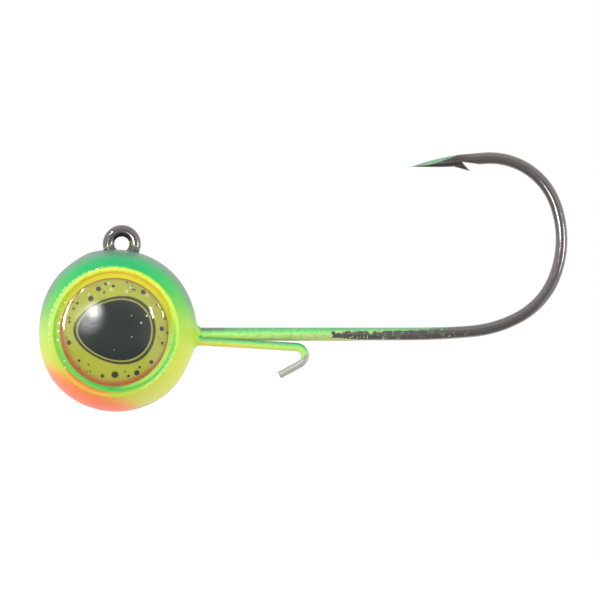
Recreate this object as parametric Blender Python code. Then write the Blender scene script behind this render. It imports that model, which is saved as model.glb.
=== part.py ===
"""Ball-head fishing jig.

A lead ball is cast round a wire hook and a wire bait keeper. A round socket on each side of the ball
holds an eye: an adhesive disc, a printed foil disc and a clear domed lens, stacked outwards.

Frame: the origin is the centre of the line tie, the ring at the top of the ball. +X runs back from the
ball to the bend of the hook, +Z is up, on the side of the hook's point, and -Y is the left side.
The dimensions are in millimetres and are turned into metres where a mesh is made.
"""

import math

import bmesh
import bpy
from mathutils import Matrix, Vector

MM = 0.001

# The ball, its flattened nose and the neck that leads to the shank.
BALL_RADIUS = 9.0
BALL_CENTRE = Vector((-0.62, 0.0, -9.62))
NOSE_FLATTENING = 0.43
NOSE_DIRECTION = Vector((-1.0, 0.0, 0.07)).normalized()
NOSE_SHARPNESS = 6
NECK_CENTRE = Vector((0.0, -0.4, -10.28))
NECK_END_X = 8.8
NECK_HALF_HEIGHT = 1.06
NECK_HALF_WIDTH = 1.5
NECK_FILLET = 0.75
NECK_ROOT_X = 6.2
NECK_ROOT_RADIUS = 2.35

# The hook: one wire that makes the line tie, the leg inside the lead, the shank, the bend and the point.
HOOK_WIRE_RADIUS = 0.625
TIE_RADIUS = 1.47
TIE_END_ANGLE = 226.0
TIE_NECK_RADIUS = 1.4
LEG_BEND_RADIUS = 1.4
SHANK_DROP = 10.0
SHANK_END_X = 32.05
BEND_ARCS = ((77.0, 5.1), (13.5, 24.0), (8.55, 39.3), (11.5, 42.2), (7.7, 73.6), (103.0, 4.6))
POINT_LENGTH = 6.0
POINT_TIP_RADIUS = 0.02

# The barb, raised from the underside of the point, and the cut behind it, as (x, z).
BARB_FRONT = (36.6, 8.62)
BARB_TIP = (38.7, 8.12)
BARB_ROOT = (37.73, 9.14)
BARB_HALF_WIDTH = 0.4
CUT_END = (39.6, 8.84)
CUT_DEPTH = 1.2

# The bait keeper: a thinner wire, anchored in the lead, that runs back under the shank and folds down.
KEEPER_WIRE_RADIUS = 0.4
KEEPER_START = Vector((1.93, -13.1))
KEEPER_ANCHOR_LENGTH = 1.42
KEEPER_ANCHOR_RADIUS = 1.2
KEEPER_SLOPE = 3.4
KEEPER_RUN = 16.25
KEEPER_FOLD_RADIUS = 1.0
KEEPER_FOLD_SWEEP = 148.3
KEEPER_TIP_LENGTH = 2.65
KEEPER_SIDE_OFFSET = -1.24
KEEPER_YAW = 2.2

# The eye on each side: the socket in the ball and the stack that fills it.
EYE_X = -0.72
EYE_Z = -9.76
SOCKET_FLOOR_Y = 4.85
SOCKET_FLOOR_RADIUS = 6.45
SOCKET_LIP_Y = 5.6
SOCKET_LIP_RADIUS = 7.02
SOCKET_CUT_Y = 9.5
ADHESIVE_RADIUS = 5.6
ADHESIVE_THICKNESS = 0.1
FOIL_RADIUS = 6.0
FOIL_THICKNESS = 0.12
DOME_RADIUS = 6.0
DOME_EDGE = 0.5
DOME_CROWN = 2.4

# Clearances: round each cast-in wire, and between the layers of an eye.
WIRE_GAP = 0.05
LAYER_GAP = 0.03

# Mesh density.
BALL_SEGMENTS = 64
NECK_SEGMENTS = 40
EYE_SEGMENTS = 48
DOME_STEPS = 7
HOOK_ROUNDNESS = 4
KEEPER_ROUNDNESS = 3
ARC_STEP_DEGREES = 9.0
ARC_STEP_LENGTH = 1.4
SMOOTH_ANGLE = math.radians(35)


def clear_scene():
    for obj in list(bpy.data.objects):
        bpy.data.objects.remove(obj, do_unlink=True)


def make_material(name, colour, roughness, metallic=0.0, transmission=0.0):
    material = bpy.data.materials.new(name)
    material.use_nodes = True
    shader = material.node_tree.nodes["Principled BSDF"]
    shader.inputs["Base Color"].default_value = (*colour, 1.0)
    shader.inputs["Roughness"].default_value = roughness
    shader.inputs["Metallic"].default_value = metallic
    shader.inputs["Transmission Weight"].default_value = transmission
    return material


def add_object(name, mesh, material=None):
    obj = bpy.data.objects.new(name, mesh)
    bpy.context.scene.collection.objects.link(obj)
    if material:
        mesh.materials.append(material)
        mesh.shade_smooth()
        mesh.set_sharp_from_angle(angle=SMOOTH_ANGLE)
    return obj


def add_cutter(name, mesh):
    """A helper for a Boolean, which is never a piece itself."""
    cutter = add_object(name, mesh)
    cutter.hide_render = True
    cutter.display_type = "WIRE"
    return cutter


def apply_boolean(obj, operation, helper):
    modifier = obj.modifiers.new(helper.name, "BOOLEAN")
    modifier.operation = operation
    modifier.solver = "EXACT"
    modifier.object = helper


def mesh_from(bm, name):
    bmesh.ops.recalc_face_normals(bm, faces=bm.faces)
    mesh = bpy.data.meshes.new(name)
    bm.to_mesh(mesh)
    bm.free()
    return mesh


def turned(name, profile, segments):
    """The solid turned round the Z axis from a profile of (radius, height) that starts and ends on the axis."""
    bm = bmesh.new()
    points = [bm.verts.new((radius * MM, 0.0, height * MM)) for radius, height in profile]
    edges = [bm.edges.new(pair) for pair in zip(points, points[1:])]
    bmesh.ops.spin(
        bm,
        geom=points + edges,
        cent=(0.0, 0.0, 0.0),
        axis=(0.0, 0.0, 1.0),
        angle=math.tau,
        steps=segments,
        use_merge=True,
    )
    bmesh.ops.remove_doubles(bm, verts=bm.verts, dist=1e-7)
    bmesh.ops.dissolve_degenerate(bm, edges=bm.edges, dist=1e-7)
    return mesh_from(bm, name)


def trace(start, heading, moves):
    """The points of a flat path in X and Z, from a start, a heading in degrees and a list of moves.

    A move is a straight length, or a (radius, sweep in degrees) pair whose sweep is positive to the left.
    """
    position, angle = Vector(start), math.radians(heading)
    points = [position.copy()]
    for move in moves:
        if not isinstance(move, tuple):
            position = position + Vector((math.cos(angle), math.sin(angle))) * move
            points.append(position.copy())
            continue
        radius, sweep = move
        turn = math.radians(sweep)
        side = math.copysign(radius, turn)
        centre = position + Vector((-math.sin(angle), math.cos(angle))) * side
        steps = math.ceil(max(abs(sweep) / ARC_STEP_DEGREES, radius * abs(turn) / ARC_STEP_LENGTH))
        for step in range(1, steps + 1):
            here = angle + turn * step / steps
            points.append(centre - Vector((-math.sin(here), math.cos(here))) * side)
        position, angle = points[-1], angle + turn
    return points


def wire(name, path, radii, roundness):
    """A round wire along a path of (x, z) points, with a radius at each point and closed ends."""
    curve = bpy.data.curves.new(name, "CURVE")
    curve.dimensions = "3D"
    curve.bevel_depth = 1.0
    curve.bevel_resolution = roundness
    curve.use_fill_caps = True
    spline = curve.splines.new("POLY")
    spline.points.add(len(path) - 1)
    for point, (x, z), radius in zip(spline.points, path, radii):
        point.co = (x * MM, 0.0, z * MM, 1.0)
        point.radius = radius * MM
    guide = bpy.data.objects.new(name, curve)
    bm = bmesh.new()
    bm.from_mesh(guide.to_mesh())
    bpy.data.objects.remove(guide)
    bpy.data.curves.remove(curve)
    bmesh.ops.remove_doubles(bm, verts=bm.verts, dist=1e-7)
    return mesh_from(bm, name)


def hook_start():
    """The free end of the wire, where the line tie closes, and its heading."""
    angle = math.radians(TIE_END_ANGLE)
    return Vector((math.cos(angle), math.sin(angle))) * TIE_RADIUS, TIE_END_ANGLE - 90.0


def hook_moves_to_shank():
    """Round the line tie, into the leg, down it and round onto the shank, which starts at the leg's bend."""
    neck_height = math.sqrt(TIE_RADIUS**2 + 2.0 * TIE_RADIUS * TIE_NECK_RADIUS)
    neck_angle = math.degrees(math.atan2(neck_height, TIE_NECK_RADIUS))
    return [
        (TIE_RADIUS, -(TIE_END_ANGLE + neck_angle)),
        (TIE_NECK_RADIUS, neck_angle),
        SHANK_DROP - neck_height - LEG_BEND_RADIUS,
        (LEG_BEND_RADIUS, 90.0),
    ]


def point_radius(distance):
    """The wire's radius at a distance from the tip of the point."""
    if distance >= POINT_LENGTH:
        return HOOK_WIRE_RADIUS
    return max(POINT_TIP_RADIUS, HOOK_WIRE_RADIUS * math.sin(math.pi / 2.0 * distance / POINT_LENGTH))


def prism(name, outline, half_width):
    """An outline of (x, z) points, extruded evenly to both sides in Y."""
    bm = bmesh.new()
    face = bm.faces.new([bm.verts.new((x * MM, -half_width * MM, z * MM)) for x, z in outline])
    side = bmesh.ops.extrude_face_region(bm, geom=[face])["geom"]
    moved = [item for item in side if isinstance(item, bmesh.types.BMVert)]
    bmesh.ops.translate(bm, verts=moved, vec=(0.0, 2.0 * half_width * MM, 0.0))
    return mesh_from(bm, name)


def barb_mesh():
    """A thorn that starts flush with the underside of the point and ends in a tip behind and below it."""
    bm = bmesh.new()
    corners = [(*BARB_FRONT, 0.0), (*BARB_TIP, 0.0)]
    for y in (-BARB_HALF_WIDTH, BARB_HALF_WIDTH):
        corners.append((*BARB_ROOT, y))
        corners.append((BARB_FRONT[0] + 0.4, BARB_ROOT[1], 0.6 * y))
    for x, z, y in corners:
        bm.verts.new((x * MM, y * MM, z * MM))
    bmesh.ops.convex_hull(bm, input=bm.verts)
    return mesh_from(bm, "barb")


def make_hook(material):
    start, heading = hook_start()
    moves = hook_moves_to_shank() + [SHANK_END_X - LEG_BEND_RADIUS] + list(BEND_ARCS)
    path = trace(start, heading, moves)
    radii = [point_radius((point - path[-1]).length) for point in path]
    hook = add_object("hook", wire("hook", path, radii, HOOK_ROUNDNESS), material)
    cut = (BARB_ROOT, CUT_END, (CUT_END[0], CUT_END[1] - CUT_DEPTH), (BARB_ROOT[0], BARB_ROOT[1] - CUT_DEPTH))
    apply_boolean(hook, "DIFFERENCE", add_cutter("barb_cut", prism("barb_cut", cut, 2.0 * BARB_HALF_WIDTH)))
    apply_boolean(hook, "UNION", add_cutter("barb", barb_mesh()))
    return hook


def hook_channel():
    """The space that the hook takes up in the lead: the buried wire and its clearance."""
    start, heading = hook_start()
    path = trace(start, heading, hook_moves_to_shank() + [NECK_END_X])
    radii = [HOOK_WIRE_RADIUS + WIRE_GAP] * len(path)
    lead_in = Vector((math.cos(math.radians(heading)), math.sin(math.radians(heading)))) * WIRE_GAP
    path[0] = path[0] - lead_in
    return add_cutter("hook_channel", wire("hook_channel", path, radii, HOOK_ROUNDNESS))


def keeper_path(run, more=()):
    moves = [
        KEEPER_ANCHOR_LENGTH,
        (KEEPER_ANCHOR_RADIUS, -90.0 - KEEPER_SLOPE),
        run,
        *more,
    ]
    return trace(KEEPER_START, 90.0, moves)


def place_keeper(obj):
    """The keeper lies beside the shank and closes in on it towards the fold."""
    obj.location = (0.0, KEEPER_SIDE_OFFSET * MM, 0.0)
    obj.rotation_euler = (0.0, 0.0, math.radians(KEEPER_YAW))
    return obj


def make_keeper(material):
    path = keeper_path(KEEPER_RUN, [(KEEPER_FOLD_RADIUS, -KEEPER_FOLD_SWEEP), KEEPER_TIP_LENGTH])
    mesh = wire("bait_keeper", path, [KEEPER_WIRE_RADIUS] * len(path), KEEPER_ROUNDNESS)
    return place_keeper(add_object("bait_keeper", mesh, material))


def keeper_channel():
    path = keeper_path(NECK_END_X)
    path[0] = path[0] - Vector((0.0, WIRE_GAP))
    radii = [KEEPER_WIRE_RADIUS + WIRE_GAP] * len(path)
    return place_keeper(add_cutter("keeper_channel", wire("keeper_channel", path, radii, KEEPER_ROUNDNESS)))


def ball_mesh():
    """A ball whose nose is a little flatter than a sphere; its poles lie in the sockets."""
    bm = bmesh.new()
    bmesh.ops.create_uvsphere(bm, u_segments=BALL_SEGMENTS, v_segments=BALL_SEGMENTS // 2, radius=BALL_RADIUS)
    bmesh.ops.rotate(bm, verts=bm.verts, matrix=Matrix.Rotation(math.pi / 2.0, 3, "X"))
    for vertex in bm.verts:
        direction = vertex.co.normalized()
        towards_nose = max(0.0, direction.dot(NOSE_DIRECTION))
        radius = BALL_RADIUS - NOSE_FLATTENING * towards_nose**NOSE_SHARPNESS
        vertex.co = (BALL_CENTRE + direction * radius) * MM
    return mesh_from(bm, "head_casting")


def neck_solid():
    """The collar behind the ball: an oval piece whose fillet narrows from the ball onto the two wires."""
    steps = 6
    start, end = math.radians(184.0), math.radians(250.0)
    centre_x = NECK_END_X - NECK_FILLET * math.cos(end)
    centre_radius = NECK_HALF_HEIGHT - NECK_FILLET * math.sin(end)
    profile = [(0.0, NECK_ROOT_X), (NECK_ROOT_RADIUS, NECK_ROOT_X)]
    for step in range(steps + 1):
        angle = start + (end - start) * step / steps
        profile.append((centre_radius + NECK_FILLET * math.sin(angle), centre_x + NECK_FILLET * math.cos(angle)))
    profile.append((0.0, NECK_END_X))
    neck = add_cutter("neck", turned("neck", profile, NECK_SEGMENTS))
    widen = NECK_HALF_WIDTH - NECK_HALF_HEIGHT
    for vertex in neck.data.vertices:
        radius = math.hypot(vertex.co.x, vertex.co.y)
        if radius > 0.0:
            vertex.co.y += widen * vertex.co.y / radius * min(MM, radius / NECK_HALF_HEIGHT)
    neck.rotation_euler = (0.0, math.pi / 2.0, 0.0)
    neck.location = NECK_CENTRE * MM
    return neck


def face_out(obj, side, distance):
    """Lays a piece turned round Z against an eye socket, so that its +Z points out of the ball."""
    obj.location = (EYE_X * MM, side * distance * MM, EYE_Z * MM)
    obj.rotation_euler = (-side * math.pi / 2.0, 0.0, 0.0)
    return obj


def socket_cutter(name, side):
    flare = (SOCKET_LIP_RADIUS - SOCKET_FLOOR_RADIUS) / (SOCKET_LIP_Y - SOCKET_FLOOR_Y)
    depth = SOCKET_CUT_Y - SOCKET_FLOOR_Y
    profile = (
        (0.0, 0.0),
        (SOCKET_FLOOR_RADIUS, 0.0),
        (SOCKET_FLOOR_RADIUS + flare * depth, depth),
        (0.0, depth),
    )
    return face_out(add_cutter(name, turned(name, profile, EYE_SEGMENTS)), side, SOCKET_FLOOR_Y)


def make_head(material):
    head = add_object("head_casting", ball_mesh(), material)
    apply_boolean(head, "UNION", neck_solid())
    for name, side in (("socket_left", -1), ("socket_right", 1)):
        apply_boolean(head, "DIFFERENCE", socket_cutter(name, side))
    apply_boolean(head, "DIFFERENCE", hook_channel())
    apply_boolean(head, "DIFFERENCE", keeper_channel())
    return head


def disc_profile(radius, thickness):
    return (0.0, 0.0), (radius, 0.0), (radius, thickness), (0.0, thickness)


def dome_profile():
    """A flat back, a short straight edge and a spherical crown."""
    rise = DOME_CROWN - DOME_EDGE
    sphere = (DOME_RADIUS**2 + rise**2) / (2.0 * rise)
    reach = math.asin(DOME_RADIUS / sphere)
    profile = [(0.0, 0.0), (DOME_RADIUS, 0.0)]
    for step in range(DOME_STEPS + 1):
        angle = reach * (1.0 - step / DOME_STEPS)
        profile.append((sphere * math.sin(angle), DOME_CROWN - sphere * (1.0 - math.cos(angle))))
    return profile


def make_eyes(materials):
    """Both eyes: each layer's solid is the same on the left and on the right."""
    layers = (
        ("eye_adhesive", disc_profile(ADHESIVE_RADIUS, ADHESIVE_THICKNESS), ADHESIVE_THICKNESS),
        ("eye_foil", disc_profile(FOIL_RADIUS, FOIL_THICKNESS), FOIL_THICKNESS),
        ("eye_dome", dome_profile(), DOME_CROWN),
    )
    for side_name, side in (("left", -1), ("right", 1)):
        distance = SOCKET_FLOOR_Y + LAYER_GAP
        for layer, profile, thickness in layers:
            mesh = turned(layer, profile, EYE_SEGMENTS)
            face_out(add_object(f"{layer}_{side_name}", mesh, materials[layer]), side, distance)
            distance += thickness + LAYER_GAP


def main():
    clear_scene()
    make_head(make_material("chartreuse_paint", (0.42, 0.78, 0.1), 0.35))
    make_hook(make_material("black_nickel", (0.11, 0.1, 0.105), 0.25, metallic=1.0))
    make_keeper(make_material("stainless_wire", (0.62, 0.6, 0.57), 0.3, metallic=1.0))
    eye_materials = {
        "eye_adhesive": make_material("adhesive_film", (0.85, 0.84, 0.8), 0.7),
        "eye_foil": make_material("printed_foil", (0.48, 0.5, 0.1), 0.3, metallic=0.3),
        "eye_dome": make_material("clear_epoxy", (0.95, 0.97, 0.95), 0.03, transmission=1.0),
    }
    make_eyes(eye_materials)


main()
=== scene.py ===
"""The looks of a ball-head fishing jig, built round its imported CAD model.

Lengths are in millimetres until a mesh is made. The origin is the centre of the line tie, +X runs back
to the bend of the hook, +Z is up and the camera looks along +Y at the left side.
"""

import math
import random

import bmesh
import bpy
import numpy as np
from mathutils import Matrix, Vector


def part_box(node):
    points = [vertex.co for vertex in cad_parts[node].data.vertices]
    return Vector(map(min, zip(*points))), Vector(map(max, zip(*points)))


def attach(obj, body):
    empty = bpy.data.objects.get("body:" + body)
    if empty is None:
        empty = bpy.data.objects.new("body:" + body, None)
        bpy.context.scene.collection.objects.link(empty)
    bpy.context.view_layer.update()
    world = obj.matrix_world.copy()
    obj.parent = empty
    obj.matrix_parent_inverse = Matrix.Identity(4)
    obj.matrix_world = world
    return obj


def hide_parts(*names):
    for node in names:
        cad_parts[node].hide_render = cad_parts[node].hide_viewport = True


MM = 0.001
LAYER_GAP = 0.03

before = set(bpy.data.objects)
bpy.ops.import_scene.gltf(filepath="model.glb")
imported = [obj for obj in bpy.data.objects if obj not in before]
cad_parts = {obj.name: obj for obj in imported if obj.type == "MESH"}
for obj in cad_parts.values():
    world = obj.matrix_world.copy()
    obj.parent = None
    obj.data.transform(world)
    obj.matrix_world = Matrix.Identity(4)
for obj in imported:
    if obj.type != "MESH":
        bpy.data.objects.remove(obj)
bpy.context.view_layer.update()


def box_mm(node):
    low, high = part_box(node)
    return low / MM, high / MM


# ---- sizes, from the frame where it has them

DOME_LOW, DOME_HIGH = box_mm("eye_dome_left")
FOIL_LOW, FOIL_HIGH = box_mm("eye_foil_left")
ADHESIVE_LOW, ADHESIVE_HIGH = box_mm("eye_adhesive_left")
HOOK_LOW, HOOK_HIGH = box_mm("hook")
_, KEEPER_HIGH = box_mm("bait_keeper")
HEAD_LOW, HEAD_HIGH = box_mm("head_casting")

EYE_X = (DOME_LOW.x + DOME_HIGH.x) / 2.0
EYE_Z = (DOME_LOW.z + DOME_HIGH.z) / 2.0
EYE_RADIUS = (DOME_HIGH.x - DOME_LOW.x) / 2.0
ADHESIVE_RADIUS = (ADHESIVE_HIGH.x - ADHESIVE_LOW.x) / 2.0
DOME_BACK = -FOIL_LOW.y - LAYER_GAP
DOME_TOP = -DOME_LOW.y
DOME_EDGE = 0.7
DOME_FOOT = 0.06
DOME_SHOULDER = 0.12
FOIL_INSET = 0.03
DISC_ROUNDING = 0.02
EYE_SEGMENTS = 160

BALL_RADIUS = (HEAD_HIGH.z - HEAD_LOW.z) / 2.0
BALL_CENTRE = np.array([-0.62, 0.0, (HEAD_HIGH.z + HEAD_LOW.z) / 2.0])
# The casting's swellings and flats: (angle, how far it stands proud, sharpness). 0 is back and 90 is up.
BALL_SWELLINGS = ((176.0, -0.43, 6), (108.0, 0.14, 60), (335.0, -0.19, 26), (21.0, -0.07, 30))

SOCKET_FLOOR = 4.85
SOCKET_FLOOR_RADIUS = 6.45
SOCKET_FLARE = 0.76
FLOOR_ROUNDING = 0.32
LIP_ROUNDING = 0.4

WIRE_RADIUS = (HOOK_HIGH.y - HOOK_LOW.y) / 2.0
SHANK_Z = HOOK_LOW.z + WIRE_RADIUS
PAINT = 0.065
LACQUER = 0.03
SAG = 0.05
TIE_RADIUS = 1.47
TIE_END_ANGLE = 226.0
TIE_NECK_RADIUS = 1.4
LEG_BEND_RADIUS = 1.4
SHANK_END_X = 32.05
BEND_ARCS = ((77.0, 5.1), (13.5, 24.0), (8.55, 39.3), (11.5, 42.2), (7.7, 73.6), (103.0, 4.6))
POINT_LENGTH = 6.0
TIP_RADIUS = 0.015
HOOK_SIDES = 40
CHIPS_START = 23.3

BARB_FRONT = (36.6, 8.62)
BARB_TIP = (38.7, 8.12)
BARB_ROOT = (37.73, 9.14)
CUT_END = (39.7, 8.86)
CUT_TILT = 0.052

KEEPER_RADIUS = 0.4
KEEPER_START = (1.93, -13.1)
KEEPER_ANCHOR_LENGTH = 1.42
KEEPER_ANCHOR_RADIUS = 1.2
KEEPER_SLOPE = 3.4
KEEPER_RUN = 16.25
KEEPER_FOLD_RADIUS = 1.0
KEEPER_FOLD_SWEEP = 148.3
KEEPER_TIP_LENGTH = 2.65
KEEPER_SIDE = -1.24
KEEPER_YAW = 2.2
KEEPER_SIDES = 32
CHAMFER_LENGTH = 0.04
CHAMFER_DEPTH = 0.05

NECK_FILLET = 0.66
NECK_BLEND = 0.9
NECK_X = 8.6
KEEPER_NECK_Z = -10.8


# ---- mesh helpers


def add_mesh(name, points, faces, material):
    mesh = bpy.data.meshes.new(name)
    mesh.from_pydata([tuple(p) for p in np.asarray(points) * MM], [], faces)
    mesh.materials.append(material)
    mesh.shade_smooth()
    obj = bpy.data.objects.new(name, mesh)
    bpy.context.scene.collection.objects.link(obj)
    return obj


def face_outwards(obj):
    bm = bmesh.new()
    bm.from_mesh(obj.data)
    bmesh.ops.recalc_face_normals(bm, faces=bm.faces)
    bm.to_mesh(obj.data)
    bm.free()


def tube(name, rings, ends, material):
    """A closed skin through rings of points, each ring closed on itself, with one point at each end."""
    count, sides, _ = rings.shape
    points = np.vstack([rings.reshape(-1, 3), np.array(ends, float)])
    first, last = count * sides, count * sides + 1
    faces = []
    for i in range(count - 1):
        for j in range(sides):
            k = (j + 1) % sides
            faces.append((i * sides + j, i * sides + k, (i + 1) * sides + k, (i + 1) * sides + j))
    for j in range(sides):
        k = (j + 1) % sides
        faces.append((first, k, j))
        faces.append((last, (count - 1) * sides + j, (count - 1) * sides + k))
    obj = add_mesh(name, points, faces, material)
    face_outwards(obj)
    return obj


def trace(start, heading, moves, step_degrees, step_length):
    """Points of a flat path and the heading at each, from straight lengths and (radius, sweep) arcs."""
    position, angle = np.array(start, float), math.radians(heading)
    points, headings = [position], [angle]
    for move in moves:
        radius, sweep = move if isinstance(move, tuple) else (None, 0.0)
        turn = math.radians(sweep)
        length = move if radius is None else abs(radius * turn)
        steps = max(1, math.ceil(max(abs(sweep) / step_degrees, length / step_length)))
        for step in range(1, steps + 1):
            share = step / steps
            here = angle + turn * share
            if radius is None:
                point = position + length * share * np.array([math.cos(angle), math.sin(angle)])
            else:
                side = math.copysign(radius, turn)
                centre = position + side * np.array([-math.sin(angle), math.cos(angle)])
                point = centre - side * np.array([-math.sin(here), math.cos(here)])
            points.append(point)
            headings.append(here)
        position, angle = points[-1], angle + turn
    return np.array(points), np.array(headings)


def wire_rings(points, headings, radii):
    """Rings of points round a path in X and Z. radii holds one radius for each ring and each side."""
    sides = radii.shape[1]
    around = np.arange(sides) * math.tau / sides
    inwards = np.stack([-np.sin(headings), np.zeros_like(headings), np.cos(headings)], axis=1)
    centres = np.stack([points[:, 0], np.zeros(len(points)), points[:, 1]], axis=1)
    rings = centres[:, None, :] + radii[:, :, None] * (
        np.cos(around)[None, :, None] * inwards[:, None, :]
        + np.sin(around)[None, :, None] * np.array([0.0, 1.0, 0.0])
    )
    return rings


def wire_ends(points):
    return [(x, 0.0, z) for x, z in (points[0], points[-1])]


def smooth_step(value, low, high):
    t = np.clip((np.asarray(value, float) - low) / (high - low), 0.0, 1.0)
    return t * t * (3.0 - 2.0 * t)


def rounded_corner(before, corner, after, steps):
    """A corner of a profile rounded between two points on its sides."""
    t = np.linspace(0.0, 1.0, steps)[:, None]
    return (1 - t) ** 2 * np.array(before) + 2 * t * (1 - t) * np.array(corner) + t**2 * np.array(after)


# ---- node helpers


# How wide the blend is at the edge of a zone.
THIN = 0.1


class Graph:
    """Builds nodes. A value is a number, a colour or another node's socket."""

    def __init__(self, owner):
        owner.use_nodes = True
        self.nodes = owner.node_tree.nodes
        self.links = owner.node_tree.links
        self.coordinates = self.nodes.new("ShaderNodeTexCoord")

    def put(self, socket, value):
        if isinstance(value, bpy.types.NodeSocket):
            self.links.new(value, socket)
        elif isinstance(value, tuple) and len(value) == 3 and socket.type == "RGBA":
            socket.default_value = (*value, 1.0)
        else:
            socket.default_value = value

    def math(self, operation, a, b=0.0, clamp=False):
        node = self.nodes.new("ShaderNodeMath")
        node.operation = operation
        node.use_clamp = clamp
        self.put(node.inputs[0], a)
        self.put(node.inputs[1], b)
        return node.outputs[0]

    def add(self, a, b):
        return self.math("ADD", a, b)

    def subtract(self, a, b):
        return self.math("SUBTRACT", a, b)

    def multiply(self, a, b):
        return self.math("MULTIPLY", a, b)

    def vector(self, operation, a, b=(0.0, 0.0, 0.0)):
        node = self.nodes.new("ShaderNodeVectorMath")
        node.operation = operation
        self.put(node.inputs[0], a)
        self.put(node.inputs[3 if operation == "SCALE" else 1], b)
        return node.outputs["Value" if operation in ("DOT_PRODUCT", "LENGTH", "DISTANCE") else "Vector"]

    def swing(self, noise, amount):
        """Noise as a swing of half of amount, at most, to each side of 0."""
        return self.multiply(self.subtract(noise, 0.5), amount)

    def combine(self, x, y, z):
        node = self.nodes.new("ShaderNodeCombineXYZ")
        for socket, value in zip(node.inputs, (x, y, z)):
            self.put(socket, value)
        return node.outputs[0]

    def split(self, vector):
        node = self.nodes.new("ShaderNodeSeparateXYZ")
        self.put(node.inputs[0], vector)
        return node.outputs[0], node.outputs[1], node.outputs[2]

    def ramp(self, value, low, high, start=0.0, end=1.0):
        """Rises smoothly from start at low to end at high."""
        node = self.nodes.new("ShaderNodeMapRange")
        node.interpolation_type = "SMOOTHSTEP"
        for socket, setting in zip(node.inputs, (value, low, high, start, end)):
            self.put(socket, setting)
        return node.outputs[0]

    def above(self, value, limit):
        """1 above a limit and 0 below it."""
        return self.ramp(value, limit, limit + THIN)

    def below(self, value, limit):
        return self.ramp(value, limit, limit - THIN)

    def band(self, value, centre, half_width, softness):
        """1 within half_width of centre, falling to 0 over softness."""
        distance = self.math("ABSOLUTE", self.subtract(value, centre))
        return self.ramp(distance, half_width, half_width + softness, 1.0, 0.0)

    def mix(self, factor, a, b):
        node = self.nodes.new("ShaderNodeMix")
        node.data_type = "RGBA"
        self.put(node.inputs[0], factor)
        self.put(node.inputs[6], a)
        self.put(node.inputs[7], b)
        return node.outputs[2]

    def stops(self, value, *stops):
        """A colour read from a row of (value, colour) stops, low to high."""
        low, high = stops[0][0], stops[-1][0]
        node = self.nodes.new("ShaderNodeValToRGB")
        row = node.color_ramp.elements
        row[0].color = (*stops[0][1], 1.0)
        row[1].color = (*stops[-1][1], 1.0)
        for at, colour in stops[1:-1]:
            row.new((at - low) / (high - low)).color = (*colour, 1.0)
        self.put(node.inputs[0], self.multiply(self.subtract(value, low), 1.0 / (high - low)))
        return node.outputs[0]

    def blend(self, factor, a, b):
        """A number between a and b."""
        node = self.nodes.new("ShaderNodeMix")
        self.put(node.inputs[0], factor)
        self.put(node.inputs[2], a)
        self.put(node.inputs[3], b)
        return node.outputs[0]

    def noise(self, scale, detail=2.0, roughness=0.5, where=None):
        """Noise of a given number of waves per millimetre, about 0.5 on average."""
        node = self.nodes.new("ShaderNodeTexNoise")
        node.inputs["Scale"].default_value = scale
        node.inputs["Detail"].default_value = detail
        node.inputs["Roughness"].default_value = roughness
        self.put(node.inputs["Vector"], where or self.place())
        return node.outputs["Fac"]

    def place(self):
        """The point on the piece, in millimetres."""
        return self.vector("SCALE", self.coordinates.outputs["Object"], 1.0 / MM)

    def normal(self):
        return self.coordinates.outputs["Normal"]

    def bump(self, height, distance_mm, strength=1.0):
        node = self.nodes.new("ShaderNodeBump")
        node.inputs["Strength"].default_value = strength
        node.inputs["Distance"].default_value = distance_mm * MM
        self.put(node.inputs["Height"], height)
        return node.outputs[0]


class Finish(Graph):
    """The nodes of one new material."""

    def __init__(self, name):
        self.material = bpy.data.materials.new(name)
        super().__init__(self.material)
        self.shader = self.nodes["Principled BSDF"]

    def set(self, **values):
        for name, value in values.items():
            self.put(self.shader.inputs[name.replace("_", " ").title().replace("Ior", "IOR")], value)


def srgb(red, green, blue):
    """A colour given as 0 to 255 display values, as linear light."""

    def linear(value):
        value /= 255.0
        return value / 12.92 if value <= 0.04045 else ((value + 0.055) / 1.055) ** 2.4

    return linear(red), linear(green), linear(blue)


# ---- paint

# Rows of (height of the surface's normal, colour), from the underside at -1 to the top at 1.
BALL_SPRAY = (
    (-0.9, srgb(184, 186, 80)),
    (-0.45, srgb(181, 187, 68)),
    (-0.16, srgb(168, 186, 68)),
    (0.0, srgb(151, 182, 70)),
    (0.28, srgb(98, 168, 66)),
    (0.5, srgb(56, 158, 68)),
    (0.74, srgb(24, 146, 76)),
    (0.88, srgb(8, 136, 78)),
    (0.96, srgb(44, 112, 84)),
)
WIRE_SPRAY = (
    (-1.0, srgb(150, 176, 84)),
    (-0.5, srgb(160, 212, 92)),
    (0.0, srgb(128, 196, 88)),
    (0.4, srgb(82, 162, 78)),
    (0.8, srgb(46, 128, 70)),
    (1.0, srgb(48, 104, 72)),
)
# Rows for the socket, by how much the direction from the eye's middle is towards SOCKET_TOP.
SOCKET_TOP = 80.0
FLOOR_SPRAY = (
    (-1.0, srgb(104, 208, 92)),
    (-0.6, srgb(120, 208, 92)),
    (-0.2, srgb(162, 214, 84)),
    (0.4, srgb(192, 206, 64)),
    (1.0, srgb(214, 208, 62)),
)
LIP_SPRAY = (
    (-1.0, srgb(160, 178, 62)),
    (0.0, srgb(162, 214, 96)),
    (1.0, srgb(240, 246, 88)),
)
SMOKE = srgb(92, 106, 96)
DARK_SMOKE = srgb(66, 70, 62)
ORANGE = srgb(227, 115, 60)
CORAL = srgb(229, 112, 86)
AMBER = srgb(226, 150, 40)
GROOVE_GREEN = srgb(76, 200, 92)
FLOOR_LIME = srgb(206, 252, 124)
FLECK_GREEN = srgb(30, 84, 50)
DEEP_GREEN = srgb(40, 92, 58)
# The white painted on beads of clear coat as their highlights.
PAINTED_GLINT_WHITE = srgb(232, 240, 222)
SPRAY_EDGE = srgb(176, 208, 84)
NECK_LIME = srgb(158, 190, 72)
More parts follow.
